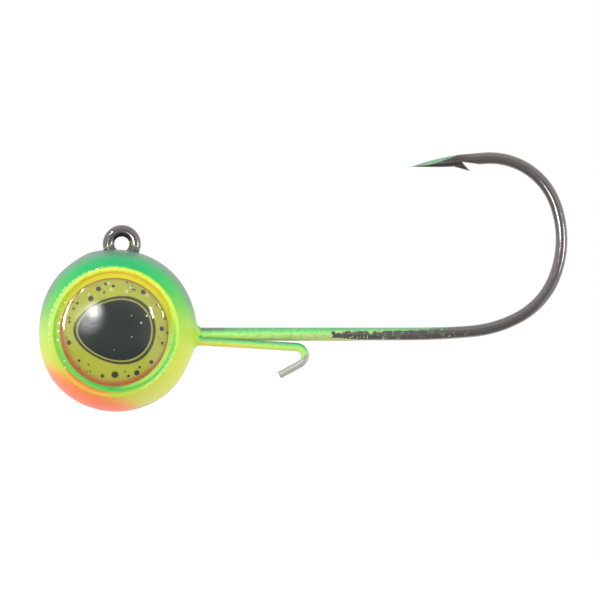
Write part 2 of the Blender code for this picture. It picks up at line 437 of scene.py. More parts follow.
# The lime round the wires is centred here, and the orange came from this direction.
NECK_MIDDLE = (8.4, -0.3, -10.5)
ORANGE_SPRAY = (-0.42, 0.0, -0.907)
# Painted highlights of clear coat droplets at the wall's foot: (angle, distance from the eye's middle,
# width).
DROPLET_GLINTS = (
    (149, 6.33, 0.14),
    (157, 6.55, 0.12),
    (164, 6.06, 0.16),
    (171, 6.2, 0.22),
    (179, 6.18, 0.2),
    (188, 6.3, 0.2),
    (210, 6.4, 0.12),
    (216, 6.7, 0.1),
)


class EyePlace:
    """Where a point is across the eye: u back, v up and reach away from the eye's middle."""

    def __init__(self, g):
        self.g = g
        self.x, _, self.z = g.split(g.place())
        self.u, self.v = g.subtract(self.x, EYE_X), g.subtract(self.z, EYE_Z)
        self.reach = g.math("SQRT", g.add(g.multiply(self.u, self.u), g.multiply(self.v, self.v)))

    def towards(self, degrees):
        """The cosine of the angle between the point's direction and a given one. 0 is back and 90 is up."""
        g, angle = self.g, math.radians(degrees)
        along = g.add(g.multiply(self.u, math.cos(angle)), g.multiply(self.v, math.sin(angle)))
        return g.math("DIVIDE", along, self.reach)


def round_eye(angle, reach):
    return reach * math.cos(math.radians(angle)), reach * math.sin(math.radians(angle))


def placed(row):
    """(angle, distance, width) spots as (u, v, width)."""
    return [(*round_eye(angle, reach), width) for angle, reach, width in row]


def spots(g, across, places, softness):
    """1 inside each (u, v, width) spot across the eye."""
    nearest = None
    for u, v, width in places:
        distance = g.vector("DISTANCE", across, (EYE_X + u, 0.0, EYE_Z + v))
        outside = g.subtract(distance, width / 2.0)
        nearest = outside if nearest is None else g.math("MINIMUM", nearest, outside)
    return g.ramp(nearest, 0.0, softness, 1.0, 0.0)


def ball_paint(g, up, edgeways, drift):
    """Chartreuse, misted green from above with smoke along the back, and orange from below in front."""
    colour = g.stops(g.add(up, drift), *BALL_SPRAY)
    smoke = g.multiply(g.ramp(edgeways, 0.52, 0.16), g.ramp(up, -0.05, 0.5))
    colour = g.mix(g.multiply(smoke, 0.85), colour, SMOKE)
    throat = g.vector("DOT_PRODUCT", g.normal(), ORANGE_SPRAY)
    orange = g.ramp(g.add(throat, g.multiply(drift, 0.5)), 0.61, 0.88)
    warm = g.mix(g.ramp(edgeways, 0.55, 0.2), ORANGE, CORAL)
    colour = g.mix(orange, colour, warm)
    from_wires = g.vector("LENGTH", g.vector("SUBTRACT", g.place(), NECK_MIDDLE))
    neck = g.multiply(g.ramp(from_wires, 1.9, 1.2), g.ramp(g.add(up, drift), 0.75, 0.35))
    return g.mix(g.multiply(neck, 0.85), colour, NECK_LIME)


def socket_paint(g, eye, ragged_reach):
    """The socket's floor and wall, and the green and amber lines where they meet."""
    high = eye.towards(SOCKET_TOP)
    floor = g.stops(high, *FLOOR_SPRAY)
    lip = g.stops(high, *LIP_SPRAY)
    lip = g.mix(g.multiply(g.ramp(eye.towards(242.0), 0.86, 0.97), 0.8), lip, ORANGE)
    wall = g.mix(g.ramp(ragged_reach, 6.42, 6.7), floor, lip)
    amber = g.multiply(g.band(ragged_reach, 6.62, 0.03, 0.13), g.ramp(high, 0.35, 0.85))
    wall = g.mix(g.multiply(amber, 0.65), wall, AMBER)
    lime = g.multiply(g.ramp(eye.reach, 6.55, 6.35), g.ramp(eye.towards(322.0), 0.6, 0.98))
    wall = g.mix(g.multiply(lime, 0.85), wall, FLOOR_LIME)
    groove_reach = g.subtract(ragged_reach, g.ramp(eye.towards(345.0), 0.6, 1.0, 0.0, 0.25))
    groove = g.multiply(g.band(groove_reach, 6.48, 0.06, 0.14), g.ramp(eye.towards(306.0), 0.3, 0.8))
    return g.mix(g.multiply(groove, 0.8), wall, GROOVE_GREEN)


def beads_and_glints(g, eye):
    """Clear coat beads and their painted highlights: two rows of small ones by the lip, and the droplets.
    """
    low_glint_row = g.multiply(g.band(eye.reach, 6.85, 0.1, 0.12), g.ramp(eye.towards(326.0), 0.8, 0.95))
    lip_glint_row = g.multiply(g.band(eye.reach, 7.25, 0.06, 0.1), g.ramp(eye.towards(140.0), 0.5, 0.8))
    bead_glint = g.ramp(g.noise(5.6, detail=1.0), 0.58, 0.64)
    bead_glint = g.multiply(bead_glint, g.math("MAXIMUM", low_glint_row, lip_glint_row))
    across = g.combine(eye.x, 0.0, eye.z)
    return g.math("MAXIMUM", bead_glint, spots(g, across, placed(DROPLET_GLINTS), 0.06))


def head_paint():
    """Airbrushed paint on the ball and in its sockets. It is satin, but for a wet stretch of the lip."""
    g = Finish("head_paint")
    eye = EyePlace(g)
    _, sideways, up = g.split(g.normal())
    edgeways = g.math("ABSOLUTE", sideways)
    grain = g.noise(1.1, detail=4.0)
    mist = g.noise(7.0, detail=3.0, roughness=0.7)
    drift = g.add(g.swing(grain, 0.16), g.swing(mist, 0.17))
    ragged_reach = g.add(eye.reach, g.swing(g.noise(3.2, detail=4.0, roughness=0.65), 0.3))

    colour = ball_paint(g, up, edgeways, drift)
    in_socket = g.ramp(ragged_reach, 6.72, 7.32, 1.0, 0.0)
    colour = g.mix(in_socket, colour, socket_paint(g, eye, ragged_reach))
    near_lip = g.band(eye.reach, 6.9, 0.45, 0.5)
    fleck = g.ramp(g.noise(6.0, detail=1.0), 0.68, 0.74)
    colour = g.mix(g.multiply(fleck, g.blend(near_lip, 0.25, 0.7)), colour, FLECK_GREEN)
    # The beads' white is a painted highlight; the bump below raises the beads themselves.
    bead_glint = beads_and_glints(g, eye)
    colour = g.mix(g.multiply(bead_glint, 0.85), colour, PAINTED_GLINT_WHITE)
    g.set(base_color=colour, roughness=g.add(0.3, g.multiply(grain, 0.1)), specular_ior_level=0.08)

    wet = g.multiply(g.band(eye.reach, 7.22, 0.05, 0.08), g.ramp(eye.towards(136.0), 0.8, 0.93))
    coat = g.multiply(wet, g.ramp(g.noise(2.4, detail=2.0), 0.3, 0.55))
    g.set(coat_weight=coat, coat_roughness=0.05, coat_ior=1.7)
    peel = g.add(g.noise(1.6, detail=1.0), g.multiply(g.noise(9.0, detail=2.0), 0.25))
    beaded = g.multiply(near_lip, g.noise(5.0, detail=2.0))
    g.set(normal=g.bump(g.add(g.add(peel, beaded), g.multiply(bead_glint, 1.5)), 0.02, 0.4))
    return g.material


def wire_paint_colour(g, up, grain):
    """The same spray on a wire, where it lies thinner and dirtier."""
    mottle = g.noise(6.5, detail=4.0, roughness=0.7)
    drift = g.add(g.swing(grain, 0.5), g.swing(mottle, 0.5))
    colour = g.stops(g.add(up, drift), *WIRE_SPRAY)
    pale = g.multiply(g.ramp(mottle, 0.62, 0.72), 0.5)
    dark = g.multiply(g.ramp(mottle, 0.42, 0.3), 0.45)
    return g.mix(dark, g.mix(pale, colour, SPRAY_EDGE), DEEP_GREEN)


TIE_PAINT = srgb(48, 56, 50)
POINT_PAINT = srgb(66, 118, 86)
WORN_PAINT = srgb(98, 130, 98)
DULL_PAINT = srgb(138, 136, 92)
OVERSPRAY = srgb(122, 134, 114)
BLACK_NICKEL = (srgb(80, 76, 75), srgb(96, 92, 90))
HONED = srgb(62, 60, 58)
STAINLESS = (srgb(158, 155, 151), srgb(168, 165, 161))
KEEPER_YELLOW = srgb(206, 174, 52)
# The heights at which the paint ends on the outside and the inside of the keeper's fold.
FOLD_OUTSIDE = -11.97
FOLD_INSIDE = -13.2


class HookPlace:
    """Where a point is on the hook, and the noise that frays the paint's edges there."""

    def __init__(self, g):
        self.x, _, self.z = g.split(g.place())
        _, _, self.up = g.split(g.normal())
        self.grain = g.noise(2.6, detail=3.0)
        self.ragged = g.subtract(g.noise(1.5, detail=5.0, roughness=0.6), 0.5)
        self.crumbs = g.subtract(g.noise(5.5, detail=3.0, roughness=0.7), 0.5)
        self.by_tie = g.multiply(g.above(self.z, -5.0), g.below(self.x, 10.0))
        self.by_point = g.multiply(g.above(self.x, 20.0), g.above(self.z, 5.0))
        self.on_bend = g.multiply(g.above(self.x, 39.9), g.below(self.z, 5.0))
        self.on_shank = g.multiply(g.below(self.z, -8.0), g.above(self.x, 5.0))


def shank_cover(g, at):
    """Above 0 on paint: all round up to the chips, then on top, for a while underneath, and in specks."""
    top_band = g.subtract(at.up, g.ramp(at.x, 28.0, 40.0, 0.22, 1.1))
    body = g.multiply(g.subtract(CHIPS_START, at.x), 0.9)
    under = g.subtract(g.ramp(at.x, 23.5, 28.5, -0.38, -1.2), at.up)
    painted = g.math("MAXIMUM", top_band, g.math("MAXIMUM", body, under))
    near_edge = g.ramp(at.x, 20.0, 23.2)
    frayed = g.add(g.multiply(at.ragged, 1.6), g.multiply(at.crumbs, 0.4))
    shank = g.add(g.multiply(painted, 1.8), g.multiply(near_edge, frayed))
    specks = g.subtract(g.noise(4.6, detail=0.0), g.ramp(at.x, 25.0, 36.5, 0.72, 0.75))
    return g.math("MAXIMUM", shank, g.multiply(specks, g.multiply(near_edge, 1.6)))


def hook_cover(g, at):
    """Above 0 on paint: the shank and the dabs on the point and the line tie, but not the bend."""
    on_point = g.subtract(g.add(at.up, 0.35), g.ramp(at.x, 33.5, 38.2, 0.0, 1.4))
    on_point = g.add(on_point, g.add(g.multiply(at.ragged, 0.8), g.multiply(at.crumbs, 0.8)))
    drip_edge = g.add(0.72, g.multiply(g.math("ABSOLUTE", at.x), -0.58))
    drip = g.multiply(g.subtract(drip_edge, at.z), 1.5)
    cover = g.blend(at.by_tie, shank_cover(g, at), g.add(drip, g.multiply(at.ragged, 1.8)))
    cover = g.blend(at.by_point, cover, on_point)
    return g.blend(at.on_bend, cover, -1.0)


def hook_paint_colour(g, at, cover):
    """The wire's spray: dull and sooty underneath, smoky by the ball, and pale at its rim."""
    worn = g.multiply(g.ramp(at.x, 22.0, 29.0), 0.3)
    paint = g.mix(worn, wire_paint_colour(g, at.up, at.grain), WORN_PAINT)
    low = g.ramp(at.up, 0.4, -0.35)
    paint = g.mix(g.multiply(low, g.ramp(at.x, 4.0, 24.0, 0.05, 0.7)), paint, DULL_PAINT)
    soot = g.multiply(g.ramp(g.noise(6.5, detail=2.0, roughness=0.6), 0.53, 0.62), low)
    paint = g.mix(g.multiply(soot, g.ramp(at.x, 6.0, 22.0, 0.15, 0.6)), paint, DEEP_GREEN)
    smoky = g.multiply(g.ramp(at.x, 14.0, 9.5), g.ramp(g.add(at.up, g.multiply(at.crumbs, 0.6)), 0.3, 0.7))
    paint = g.mix(g.multiply(smoky, 0.9), paint, DARK_SMOKE)
    rim = g.multiply(g.ramp(cover, 0.02, 0.16, 1.0, 0.0), g.ramp(at.x, 33.0, 28.0))
    paint = g.mix(g.multiply(rim, 0.7), paint, SPRAY_EDGE)
    paint = g.mix(at.by_point, paint, g.mix(g.ramp(at.crumbs, -0.1, 0.1), POINT_PAINT, WORN_PAINT))
    return g.mix(at.by_tie, paint, g.mix(g.ramp(cover, 0.0, 0.2), SPRAY_EDGE, TIE_PAINT))


def hook_metal():
    """Black nickel, with paint along the shank and dabs of it on the line tie and the point."""
    g = Finish("hook_metal")
    at = HookPlace(g)
    cover = hook_cover(g, at)
    coated = g.ramp(cover, 0.0, 0.06)
    paint = hook_paint_colour(g, at, cover)

    metal = g.mix(g.noise(3.0, detail=3.0), *BLACK_NICKEL)
    overspray = g.ramp(g.add(at.ragged, g.multiply(at.crumbs, 0.6)), 0.0, 0.12)
    overspray = g.multiply(g.multiply(overspray, g.ramp(at.x, 38.0, 31.0)), at.on_shank)
    metal = g.mix(g.multiply(overspray, 0.7), metal, OVERSPRAY)
    honed = g.multiply(g.above(at.z, 5.0), g.ramp(at.x, 39.5, 37.0))
    metal = g.mix(honed, metal, HONED)
    g.set(base_color=g.mix(coated, metal, paint), metallic=g.subtract(1.0, coated))

    bare_roughness = g.blend(honed, g.add(0.16, g.multiply(at.grain, 0.05)), 0.42)
    rough = g.blend(coated, bare_roughness, g.add(0.3, g.multiply(at.grain, 0.2)))
    g.set(roughness=rough, coat_weight=0.15, coat_roughness=0.1)
    ripple = g.multiply(g.noise(0.55, detail=1.0), 2.2)
    step = g.multiply(coated, g.add(1.0, g.multiply(g.noise(7.0, detail=3.0), 0.5)))
    g.set(normal=g.bump(g.add(step, ripple), 0.05, 0.6))
    return g.material


def keeper_metal():
    """Bare stainless wire, painted from the ball to the middle of its fold."""
    g = Finish("keeper_metal")
    x, _, z = g.split(g.place())
    _, _, up = g.split(g.normal())
    grain = g.noise(2.6, detail=3.0)
    ragged = g.swing(g.noise(1.8, detail=5.0, roughness=0.7), 0.9)
    slant = g.add(g.subtract(z, FOLD_OUTSIDE), g.multiply(g.subtract(KEEPER_HIGH.x, x), 1.09))
    inside = g.multiply(g.subtract(z, FOLD_INSIDE), 1.5)
    cover = g.add(g.math("MINIMUM", slant, inside), g.multiply(ragged, 0.5))
    coated = g.ramp(cover, 0.0, 0.06)
    paint = wire_paint_colour(g, up, grain)
    below = g.multiply(g.ramp(up, 0.3, -0.5), g.ramp(x, 23.0, 8.0))
    paint = g.mix(g.multiply(below, 0.85), paint, KEEPER_YELLOW)
    paint = g.mix(g.ramp(cover, 0.02, 0.15, 0.6, 0.0), paint, SPRAY_EDGE)
    steel = g.mix(g.noise(3.0, detail=3.0), *STAINLESS)
    g.set(base_color=g.mix(coated, steel, paint), metallic=g.subtract(1.0, coated))
    g.set(roughness=g.blend(coated, 0.62, g.add(0.3, g.multiply(grain, 0.2))))
    g.set(coat_weight=g.multiply(coated, 0.15), coat_roughness=0.1)
    step = g.multiply(coated, g.add(1.0, g.multiply(g.noise(7.0, detail=3.0), 0.35)))
    g.set(normal=g.bump(step, 0.04, 0.6))
    return g.material


# ---- eye

PUPIL_HALF_LENGTH = 3.81
PUPIL_HALF_HEIGHT = 3.07
PUPIL_LEAN = 0.2
PUPIL_MIDDLE = (0.04, 0.2)
UP_AND_BACK = (0.5, 0.87)
IRIS = (srgb(160, 165, 40), srgb(171, 174, 52))
IRIS_MOTTLE = srgb(140, 150, 50)
IRIS_EDGE = srgb(178, 96, 38)
INK = srgb(10, 24, 18)
RING_INK = srgb(40, 50, 32)
GOLD_RING = srgb(156, 152, 60)
FRECKLE_INK = srgb(42, 48, 36)
# The pale spot painted as a bubble's highlight.
BUBBLE_GLINT = srgb(192, 196, 166)
DUST = srgb(236, 252, 240)
# (angle, distance from the eye's middle, width) of the printed freckles that stand out.
FRECKLES = (
    (4, 5.08, 0.42),
    (54, 5.28, 0.44),
    (91, 4.88, 0.26),
    (100, 5.2, 0.24),
    (110, 4.87, 0.48),
    (125, 4.3, 0.5),
    (142, 4.97, 0.24),
    (150, 4.98, 0.22),
    (193, 4.93, 0.44),
    (219, 4.8, 0.22),
    (255, 4.82, 0.32),
    (271, 4.5, 0.66),
    (288, 4.9, 0.24),
    (299, 4.95, 0.5),
    (306, 4.6, 0.2),
    (321, 5.08, 0.38),
    (347, 5.26, 0.26),
)
# Bubbles, painted pale as their highlights, are given as the freckles are. A speck of dust is (u, v,
# width).
BUBBLE_GLINTS = (
    (48, 5.3, 0.24),
    (69, 5.1, 0.26),
    (73, 4.5, 0.22),
    (94, 4.5, 0.22),
    (97, 5.25, 0.24),
    (124, 4.8, 0.24),
)
DUST_SPECKS = (
    (1.8, 1.7, 0.04),
    (2.8, 0.95, 0.11),
    (1.8, -0.5, 0.05),
    (3.4, 1.7, 0.12),
    (0.0, -1.85, 0.02),
)
SPECKLE_SEED = 11
SPECKLE_COUNT = 26


def small_freckles():
    """Pinpricks scattered between the pupil's rings and the edge of the iris."""
    rng = random.Random(SPECKLE_SEED)
    found = []
    while len(found) < SPECKLE_COUNT:
        u, v = round_eye(rng.uniform(0.0, 360.0), rng.uniform(4.2, EYE_RADIUS - 0.35))
        ring = math.hypot(u / (PUPIL_HALF_LENGTH + 0.7), v / (PUPIL_HALF_HEIGHT + 0.8))
        if ring > 1.0:
            found.append((u, v, rng.uniform(0.1, 0.24)))
    return found


def iris_colour(g, eye, wobble):
    """Olive, with a burnt orange edge that is widest below in front and narrowest above behind."""
    high_back = g.add(g.multiply(eye.u, UP_AND_BACK[0]), g.multiply(eye.v, UP_AND_BACK[1]))
    high_back = g.math("DIVIDE", high_back, eye.reach)
    iris = g.mix(g.noise(0.9, detail=2.0), *IRIS)
    iris = g.mix(g.multiply(g.noise(11.0, detail=2.0), 0.25), iris, IRIS_MOTTLE)
    edge_start = g.ramp(high_back, -0.95, 0.6, 4.82, 5.58)
    edge_width = g.ramp(high_back, -0.95, 0.6, 0.86, 0.2)
    edge = g.math("DIVIDE", g.subtract(g.add(eye.reach, g.multiply(wobble, 3.0)), edge_start), edge_width)
    return g.mix(g.ramp(edge, 0.0, 1.0), iris, IRIS_EDGE)


def pupil_reach(g, eye):
    """1 on the edge of the egg-shaped pupil, less inside it and more outside."""
    share_u = g.multiply(g.subtract(eye.u, PUPIL_MIDDLE[0]), 1.0 / PUPIL_HALF_LENGTH)
    height = g.multiply(g.add(g.multiply(share_u, PUPIL_LEAN), 1.0), PUPIL_HALF_HEIGHT)
    share_v = g.math("DIVIDE", g.subtract(eye.v, PUPIL_MIDDLE[1]), height)
    return g.math("SQRT", g.add(g.multiply(share_u, share_u), g.multiply(share_v, share_v)))


def printed_foil():
    """The iris, a pupil with a gold and a dark ring, freckles, and the bubbles and dust under the dome."""
    g = Finish("printed_foil")
    eye = EyePlace(g)
    wobble = g.swing(g.noise(9.0, detail=2.0), 0.035)
    ring = g.add(pupil_reach(g, eye), g.multiply(wobble, 0.6))
    colour = g.mix(g.ramp(ring, 1.125, 1.155), RING_INK, iris_colour(g, eye, wobble))
    colour = g.mix(g.ramp(ring, 1.045, 1.065), GOLD_RING, colour)
    colour = g.mix(g.ramp(ring, 1.0, 1.015), INK, colour)

    across = g.combine(g.add(eye.x, wobble), 0.0, g.add(eye.z, wobble))
    # The bubbles' pale spots are painted highlights; the rest is print and dust.
    layers = (
        (placed(BUBBLE_GLINTS), 0.12, 0.7, BUBBLE_GLINT),
        (small_freckles(), 0.05, 0.9, FRECKLE_INK),
        (placed(FRECKLES), 0.08, 1.0, FRECKLE_INK),
        (DUST_SPECKS, 0.05, 0.95, DUST),
    )
    for places, softness, strength, ink in layers:
        colour = g.mix(g.multiply(spots(g, across, places, softness), strength), colour, ink)
    g.set(base_color=colour, roughness=0.5, specular_ior_level=0.0)
    g.set(normal=g.bump(g.noise(6.0, detail=2.0), 0.004, 0.3))
    return g.material


def clear_epoxy():
    """Clear resin with faint scuffs and the long streaks of a wipe in its gloss."""
    g = Finish("clear_epoxy")
    x, _, z = g.split(g.place())
    wiped = g.combine(g.multiply(g.add(x, z), 0.5), g.multiply(g.subtract(x, z), 1.8), 0.0)
    wipes = g.noise(1.0, detail=4.0, roughness=0.6, where=wiped)
    scuffs = g.ramp(g.noise(1.7, detail=5.0, roughness=0.65), 0.4, 0.75, 0.0, 0.025)
    scuffs = g.add(scuffs, g.ramp(wipes, 0.42, 0.68, 0.008, 0.03))
    g.set(base_color=(0.985, 0.99, 0.975), roughness=scuffs, transmission_weight=1.0, ior=1.5)
    g.set(normal=g.bump(g.add(g.noise(0.4, detail=0.0), g.multiply(wipes, 1.5)), 0.006, 0.3))
    return g.material


def adhesive_film():
    g = Finish("adhesive_film")
    g.set(base_color=g.mix(g.noise(4.0), srgb(226, 224, 214), srgb(240, 238, 230)), roughness=0.7)
    return g.material


def turned_rings(profile, side, segments):
    """Rings round the eye's axis from (radius, distance from the middle of the ball) points."""
    around = np.arange(segments) * math.tau / segments
    profile = np.asarray(profile, float)
    rings = np.empty((len(profile), segments, 3))
    rings[:, :, 0] = EYE_X + profile[:, 0:1] * np.cos(around)
    rings[:, :, 1] = side * profile[:, 1:2]
    rings[:, :, 2] = EYE_Z + profile[:, 0:1] * np.sin(around)
    return rings


def turned_piece(name, profile, side, material):
    ends = [(EYE_X, side * profile[0][1], EYE_Z), (EYE_X, side * profile[-1][1], EYE_Z)]
    return tube(name, turned_rings(profile, side, EYE_SEGMENTS), ends, material)


def disc_profile(radius, back, front):
    inner = radius - DISC_ROUNDING
    profile = [(radius * share, back) for share in (0.3, 0.7, 0.95)]
    profile += list(rounded_corner((inner, back), (radius, back), (radius, back + DISC_ROUNDING), 4))
    profile += list(rounded_corner((radius, front - DISC_ROUNDING), (radius, front), (inner, front), 4))
    profile += [(radius * share, front) for share in (0.95, 0.7, 0.3)]
    return profile


def dome_profile():
    """A flat back, a short edge, a rounded shoulder and a crown that is part of a sphere."""
    profile = [(EYE_RADIUS * share, DOME_BACK) for share in (0.25, 0.5, 0.75, 0.9)]
    corner = (EYE_RADIUS, DOME_BACK)
    before, after = (EYE_RADIUS - DOME_FOOT, DOME_BACK), (EYE_RADIUS, DOME_BACK + DOME_FOOT)
    profile += list(rounded_corner(before, corner, after, 4))
    rise = DOME_TOP - DOME_BACK - DOME_EDGE
    sphere = (EYE_RADIUS**2 + rise**2) / (2.0 * rise)
    reach = math.asin(EYE_RADIUS / sphere)
    crown = []
    for angle in np.linspace(reach, 0.0, 46)[:-1]:
        crown.append((sphere * math.sin(angle), DOME_TOP - sphere * (1.0 - math.cos(angle))))
    shoulder = (EYE_RADIUS, DOME_BACK + DOME_EDGE)
    start = (EYE_RADIUS, DOME_BACK + DOME_EDGE - DOME_SHOULDER)
    profile += list(rounded_corner(start, shoulder, crown[1], 9))
    return profile + crown[2:]


def make_eyes():
    foil_profile = disc_profile(EYE_RADIUS - FOIL_INSET, -FOIL_HIGH.y, -FOIL_LOW.y)
    film_profile = disc_profile(ADHESIVE_RADIUS, -ADHESIVE_HIGH.y, -ADHESIVE_LOW.y)
    foil, dome, film = printed_foil(), clear_epoxy(), adhesive_film()
    layers = (
        ("eye_dome", dome_profile(), dome),
        ("eye_foil", foil_profile, foil),
        ("eye_adhesive", film_profile, film),
    )
    domes = []
    for side_name, side in (("left", -1), ("right", 1)):
        for base, profile, material in layers:
            piece = turned_piece(f"{base}_{side_name}_look", profile, side, material)
            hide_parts(f"{base}_{side_name}")
            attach(piece, "root")
            if base == "eye_dome":
                domes.append(piece)
    return domes


# ---- head


def ball_radius(directions):
    """The ball's radius in each direction, with the casting's swellings and flats."""
    radius = np.full(directions.shape[:-1], BALL_RADIUS)
    for degrees, proud, sharpness in BALL_SWELLINGS:
        angle = math.radians(degrees)
        along = directions @ np.array([math.cos(angle), 0.0, math.sin(angle)])
        radius += proud * np.clip(along, 0.0, 1.0) ** sharpness
    return radius


def onto_ball(points):
    rays = points - BALL_CENTRE
    directions = rays / np.linalg.norm(rays, axis=-1, keepdims=True)
    return BALL_CENTRE + directions * ball_radius(directions)[..., None]


def crowded(low, high, centre, reach, fine, coarse):
    """Values from low to high, fine near centre and coarse away from it."""
    values = [centre]
    for direction, limit in ((1.0, high), (-1.0, low)):
        here, side = centre, []
        while True:
            share = smooth_step(abs(here - centre), 0.35 * reach, reach)
            here += direction * (fine + (coarse - fine) * float(share))
            if direction * (limit - here) < 0.4 * fine:
                break
            side.append(here)
        values = values + side if direction > 0 else side[::-1] + values
    return np.array(values)


def neck_distance(y, z):
    """How far a point behind the ball is from the wires that leave it, which the neck wraps as one."""
    shank = np.hypot(y, z - SHANK_Z) - (WIRE_RADIUS + PAINT)
    keeper_y = KEEPER_SIDE + NECK_X * math.tan(math.radians(KEEPER_YAW))
    keeper = np.hypot(y - keeper_y, z - KEEPER_NECK_Z) - (KEEPER_RADIUS + PAINT)
    blend = np.clip(0.5 + 0.5 * (keeper - shank) / NECK_BLEND, 0.0, 1.0)
    return keeper * (1 - blend) + shank * blend - NECK_BLEND * blend * (1 - blend) * 0.6


def directions_round_eye():
    """One unit vector for each column of the skin, crowded towards the neck."""
    neck_angle = math.atan2(SHANK_Z - 0.3 - EYE_Z, 9.0)
    angles = crowded(neck_angle - math.pi, neck_angle + math.pi, neck_angle, 0.36, 0.006, 0.026)[:-1]
    return np.stack([np.cos(angles), np.zeros_like(angles), np.sin(angles)], axis=1)


def eye_ring(across, radius, depth, side):
    """A ring round the eye's axis. radius and depth are each a number, or one for each direction."""
    radius, depth = np.broadcast_to(radius, len(across)), np.broadcast_to(depth, len(across))
    points = np.array([EYE_X, 0.0, EYE_Z]) + across * radius[:, None]
    points[:, 1] = side * depth
    return points


def flared_radius(depth):
    return SOCKET_FLOOR_RADIUS + SOCKET_FLARE * (depth - SOCKET_FLOOR)


def lip_depth(across):
    """Where the flared wall meets the ball, for each direction round the eye, found by halving."""
    low, high = np.full(len(across), 5.0), np.full(len(across), 6.4)
    for _ in range(40):
        middle = (low + high) / 2.0
        rays = eye_ring(across, flared_radius(middle), middle, 1) - BALL_CENTRE
        length = np.linalg.norm(rays, axis=1)
        outside = length > ball_radius(rays / length[:, None])
        high, low = np.where(outside, middle, high), np.where(outside, low, middle)
    return (low + high) / 2.0


def socket_rings(across, lip, side):
    """Rings from the floor's middle, round its edge, up the wall and over the lip."""
    lip_radius = flared_radius(lip)
    wall_up = np.array([SOCKET_FLARE, 1.0]) / math.hypot(SOCKET_FLARE, 1.0)
    rings = [eye_ring(across, r, SOCKET_FLOOR, side) for r in (1.0, 2.5, 4.0, 5.2, 5.8, 6.05)]
    start = (SOCKET_FLOOR_RADIUS - FLOOR_ROUNDING, SOCKET_FLOOR)
    corner = (SOCKET_FLOOR_RADIUS, SOCKET_FLOOR)
    end = np.array(corner) + FLOOR_ROUNDING * wall_up
    for radius, depth in rounded_corner(start, corner, end, 7):
        rings.append(eye_ring(across, radius, depth, side))
    for share in (0.42, 0.5):
        radius = SOCKET_FLOOR_RADIUS + share * (lip_radius - SOCKET_FLOOR_RADIUS)
        rings.append(eye_ring(across, radius, SOCKET_FLOOR + share * (lip - SOCKET_FLOOR), side))
    before_radius, before_depth = lip_radius - LIP_ROUNDING * wall_up[0], lip - LIP_ROUNDING * wall_up[1]
    before = eye_ring(across, before_radius, before_depth, side)
    middle = eye_ring(across, lip_radius, lip, side)
    after = onto_ball(eye_ring(across, lip_radius + 0.34, lip - LIP_ROUNDING, side))
    for t in np.linspace(0.0, 1.0, 9):
        rings.append((1 - t) ** 2 * before + 2 * t * (1 - t) * middle + t**2 * after)
    return rings


def ball_rings(start, end):
    """Rings over the ball from one socket's lip to the other's, crowded towards the wires."""
    rings = []
    for share in crowded(-1.0, 1.0, -0.4 / 5.0, 0.5, 0.014, 0.045):
        t = 0.5 + 0.5 * math.sin(math.asin(min(1.0, share)))
        if 0.004 < t < 0.996:
            rings.append(onto_ball(start * (1 - t) + end * t))
    return rings


def draw_out_neck(rings):
    """Raises the skin in a fillet round the wires that leave the back of the ball."""
    gap = np.clip(neck_distance(rings[:, :, 1], rings[:, :, 2]), 0.0, NECK_FILLET)
    rise = NECK_FILLET - np.sqrt(NECK_FILLET**2 - (NECK_FILLET - gap) ** 2)
    behind = rings[:, :, 0] > BALL_CENTRE[0] + 5.0
    rings[:, :, 0] += np.where(behind, rise, 0.0)


def make_head(material):
    """One skin: both sockets, the ball between them and the neck."""
    across = directions_round_eye()
    lip = lip_depth(across)
    left, right = socket_rings(across, lip, -1), socket_rings(across, lip, 1)
    rings = np.array(left + ball_rings(left[-1], right[-1]) + right[::-1])
    draw_out_neck(rings)
    ends = [(EYE_X, -SOCKET_FLOOR, EYE_Z), (EYE_X, SOCKET_FLOOR, EYE_Z)]
    head = tube("head_look", rings, ends, material)
    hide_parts("head_casting")
    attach(head, "root")
    return head


# ---- wires


def hook_path():
    angle = math.radians(TIE_END_ANGLE)
    start = TIE_RADIUS * math.cos(angle), TIE_RADIUS * math.sin(angle)
    neck_height = math.sqrt(TIE_RADIUS**2 + 2.0 * TIE_RADIUS * TIE_NECK_RADIUS)
    neck_angle = math.degrees(math.atan2(neck_height, TIE_NECK_RADIUS))
    moves = [
        (TIE_RADIUS, -(TIE_END_ANGLE + neck_angle)),
        (TIE_NECK_RADIUS, neck_angle),
        -SHANK_Z - neck_height - LEG_BEND_RADIUS,
        (LEG_BEND_RADIUS, 90.0),
        SHANK_END_X - LEG_BEND_RADIUS,
        *BEND_ARCS,
    ]
    return trace(start, TIE_END_ANGLE - 90.0, moves, 3.0, 0.25)


def hook_radii(points, headings):
    """The radius at each ring and side: lacquered wire, tapered to the point, with paint on the shank."""
    from_tip = np.linalg.norm(points - points[-1], axis=1)
    wire = WIRE_RADIUS + LACQUER
    taper = wire * np.sin(np.clip(from_tip / POINT_LENGTH, 0.0, 1.0) * math.pi / 2.0)
    bare = np.where(points[:, 1] > 5.0, np.maximum(taper, TIP_RADIUS), wire)
    around = np.arange(HOOK_SIDES) * math.tau / HOOK_SIDES
    up = np.cos(headings)[:, None] * np.cos(around)[None, :]
    x = points[:, 0:1]
    on_shank = (points[:, 1:2] < -9.0) & (x > 5.0)
    top = smooth_step(up, 0.3, 0.55) * smooth_step(-x, -38.0, -34.0)
    body = smooth_step(-x, -24.5, -22.5)
    under = smooth_step(-up, 0.35, 0.6) * smooth_step(-x, -27.5, -24.5)
    coat = np.where(on_shank, np.maximum(np.maximum(top, body), under), 0.0)
    sag = SAG * smooth_step(-up, 0.2, 0.9) * on_shank * smooth_step(-x, -38.0, -30.0)
    return bare[:, None] + PAINT * coat + sag


def make_hook(material):
    points, headings = hook_path()
    rings = wire_rings(points, headings, hook_radii(points, headings))
    hook = tube("hook_look", rings, wire_ends(points), material)
    cut_barb(hook, material)
    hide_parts("hook")
    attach(hook, "root")
    return hook


